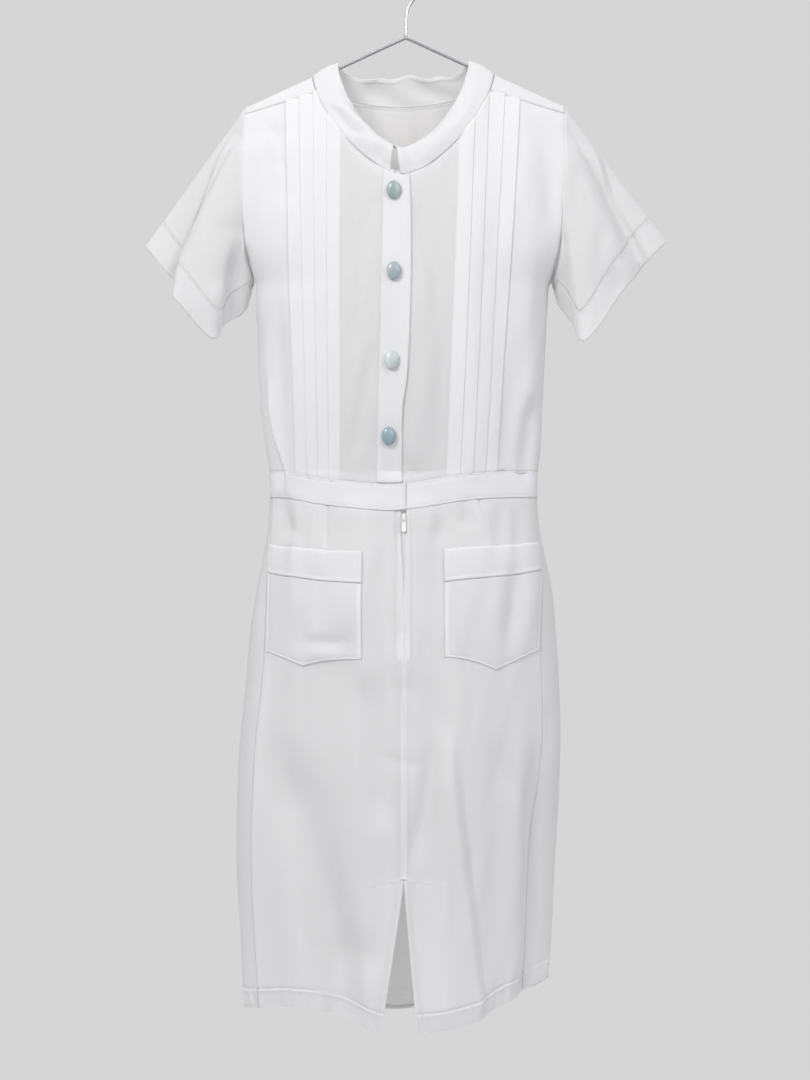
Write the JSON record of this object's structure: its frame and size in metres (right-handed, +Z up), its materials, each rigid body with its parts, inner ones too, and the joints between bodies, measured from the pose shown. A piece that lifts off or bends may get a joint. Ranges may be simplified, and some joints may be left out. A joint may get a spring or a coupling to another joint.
{
  "type": "short-sleeved uniform dress on a wire hanger",
  "caption": "White short-sleeved uniform dress with a stand collar, tucked buttoned front, waistband, patch pockets and a front zip, hanging on a wire hanger.",
  "frame": {"origin": "bearing point on the inside of the hanger's hook, where it rests on a rail", "axes": "+Z up, -Y out of the front of the dress, +X to the viewer's right when facing the front"},
  "size_m": [0.5991, 0.1887, 1.223],
  "materials": {
    "cotton": "plain weave, matte",
    "cotton_doubled": "plain weave, matte, doubled",
    "button": "pearl gloss",
    "steel": "bright wire",
    "zip": "satin"
  },
  "bodies": {
    "dress": {"hanger": "steel", "collar_band": "cotton_doubled", "bodice_front_left": "cotton", "bodice_front_right": "cotton", "bodice_back": "cotton", "placket": "cotton_doubled", "button_1": "button", "button_2": "button", "button_3": "button", "button_4": "button", "sleeve_left": "cotton", "cuff_left": "cotton_doubled", "sleeve_right": "cotton", "cuff_right": "cotton_doubled", "waistband_left": "cotton_doubled", "waistband_right": "cotton_doubled", "waistband_back": "cotton_doubled", "skirt_front_left": "cotton", "skirt_front_right": "cotton", "skirt_back": "cotton", "pocket_left": "cotton", "pocket_band_left": "cotton_doubled", "pocket_right": "cotton", "pocket_band_right": "cotton_doubled", "zip_tape": "zip", "zip_slider": "zip"},
    "pull": {"zip_pull": "zip"}
  },
  "joints": [
    {"name": "pull_hinge", "type": "hinge", "parent": "dress", "child": "pull", "pos_m": [-0.0025, -0.0647, -0.64039], "axis": [-1, 0, 0], "range_deg": [0, 140]}
  ]
}
